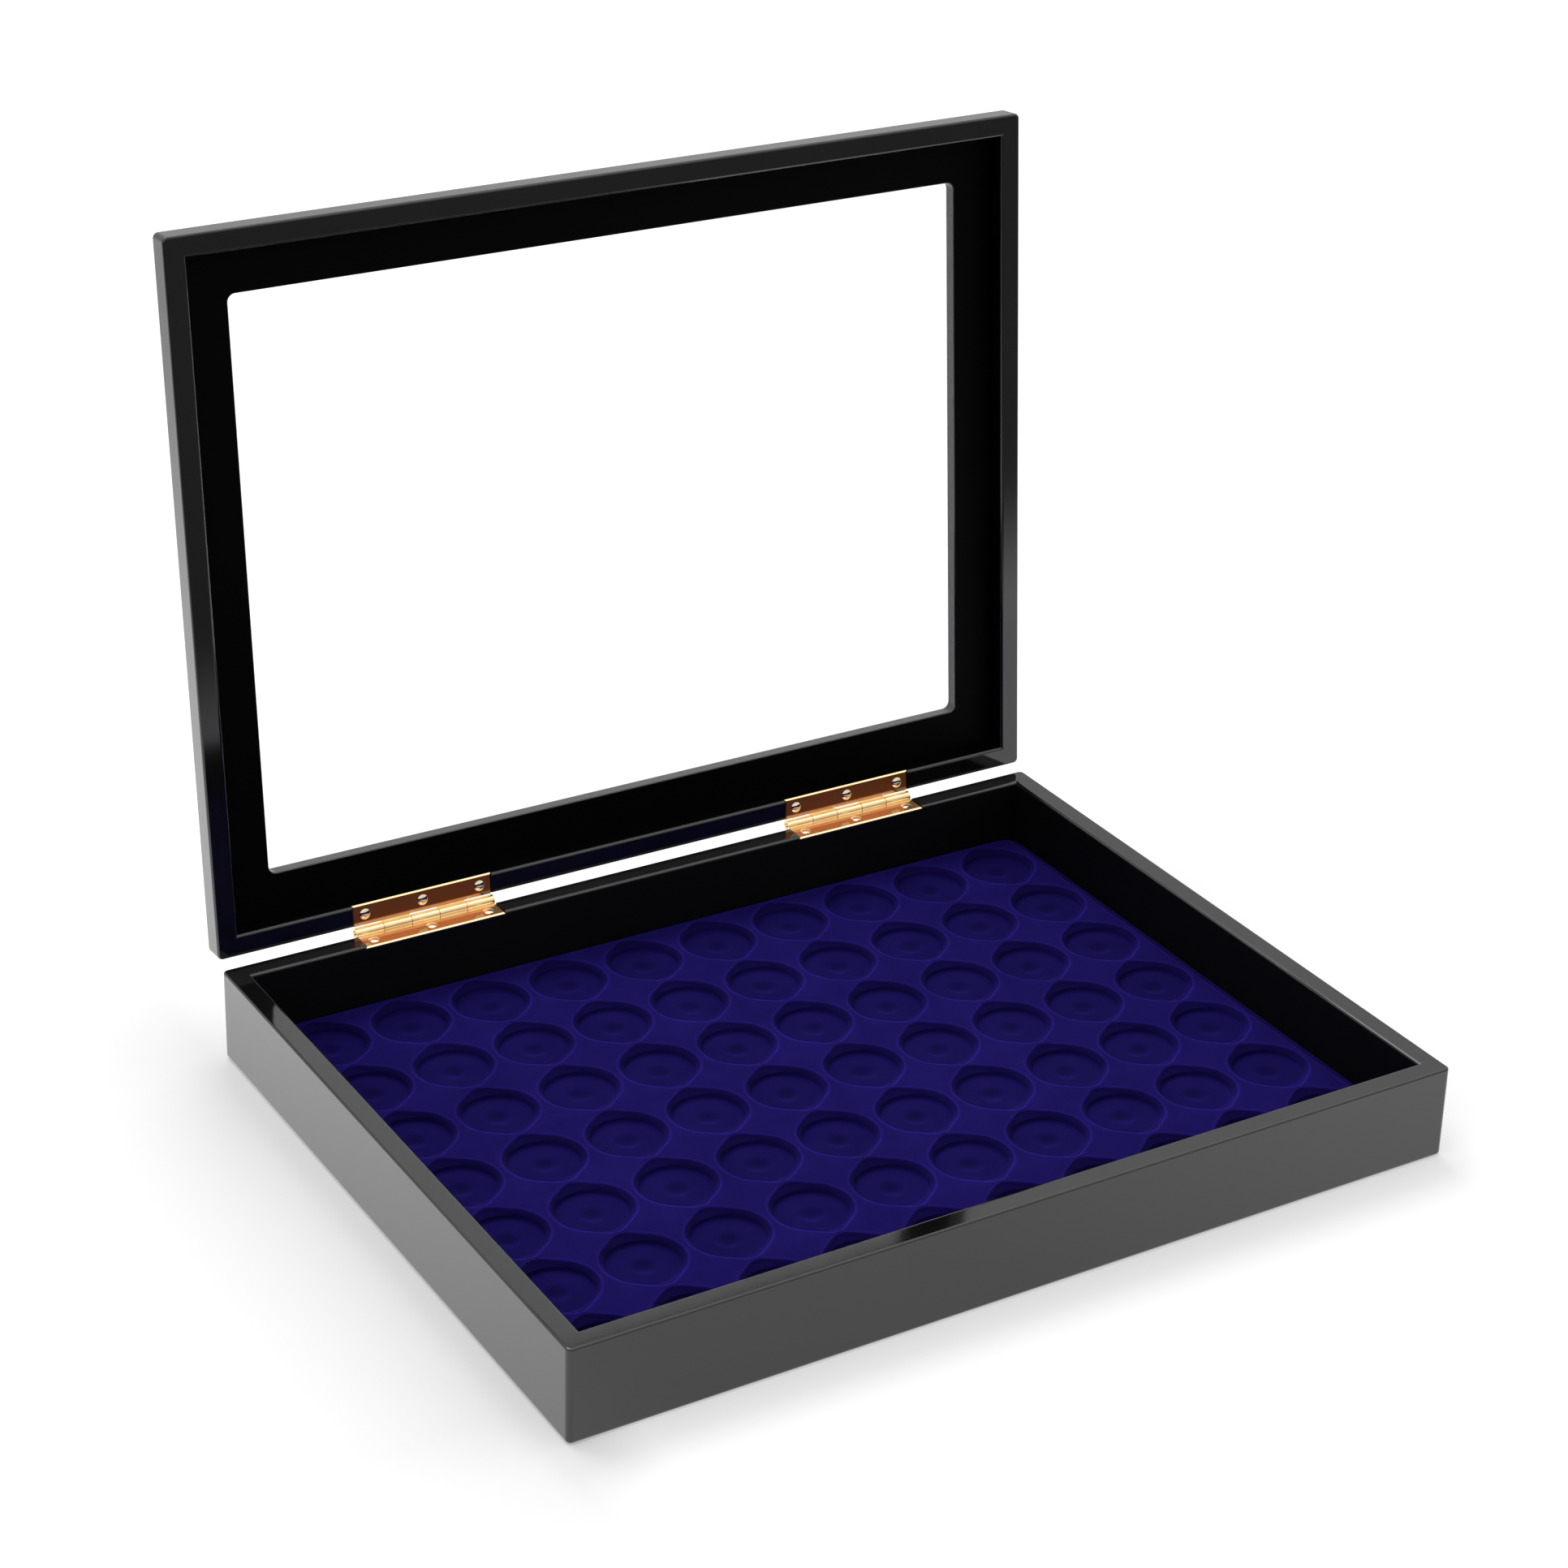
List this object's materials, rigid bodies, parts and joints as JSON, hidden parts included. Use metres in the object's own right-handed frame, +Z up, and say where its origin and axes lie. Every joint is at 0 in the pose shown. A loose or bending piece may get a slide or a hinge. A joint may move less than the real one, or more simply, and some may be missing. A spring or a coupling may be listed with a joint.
{
  "type": "coin display case",
  "caption": "Low rectangular lacquered case with a flocked tray of round coin recesses and a hinged lid with a glass window, standing open.",
  "frame": {"origin": "middle of the base's flat underside", "axes": "+X along the case's long side, +Y from the front to the hinged side, +Z up"},
  "size_m": [0.35, 0.308, 0.3049],
  "materials": {
    "black_lacquer": "high gloss",
    "floor_board": "matte",
    "lid_glass": "clear",
    "polished_brass": "polished",
    "blue_flock": "flocked"
  },
  "bodies": {
    "base": {"base_front_wall": "black_lacquer", "base_back_wall": "black_lacquer", "base_left_wall": "black_lacquer", "base_right_wall": "black_lacquer", "base_floor": "floor_board", "hinge_left_base_leaf": "polished_brass", "hinge_left_pin": "polished_brass", "hinge_left_base_screws": "polished_brass", "hinge_right_base_leaf": "polished_brass", "hinge_right_pin": "polished_brass", "hinge_right_base_screws": "polished_brass"},
    "lid": {"lid_front_rail": "black_lacquer", "lid_back_rail": "black_lacquer", "lid_left_rail": "black_lacquer", "lid_right_rail": "black_lacquer", "lid_top_panel": "black_lacquer", "lid_glass": "lid_glass", "hinge_left_lid_leaf": "polished_brass", "hinge_left_lid_screws": "polished_brass", "hinge_right_lid_leaf": "polished_brass", "hinge_right_lid_screws": "polished_brass"},
    "tray": {"coin_tray_floor": "blue_flock", "coin_tray_bars": "blue_flock", "coin_tray_dividers": "blue_flock", "coin_tray_cells": "blue_flock"}
  },
  "joints": [
    {"name": "lid_hinge", "type": "hinge", "parent": "base", "child": "lid", "pos_m": [0, 0.1364, 0.03565], "axis": [-1, 0, 0], "range_deg": [-95, 0]},
    {"name": "tray_lift", "type": "slide", "parent": "base", "child": "tray", "axis": [0, 0, 1], "range_m": [0, 0.0314]}
  ]
}
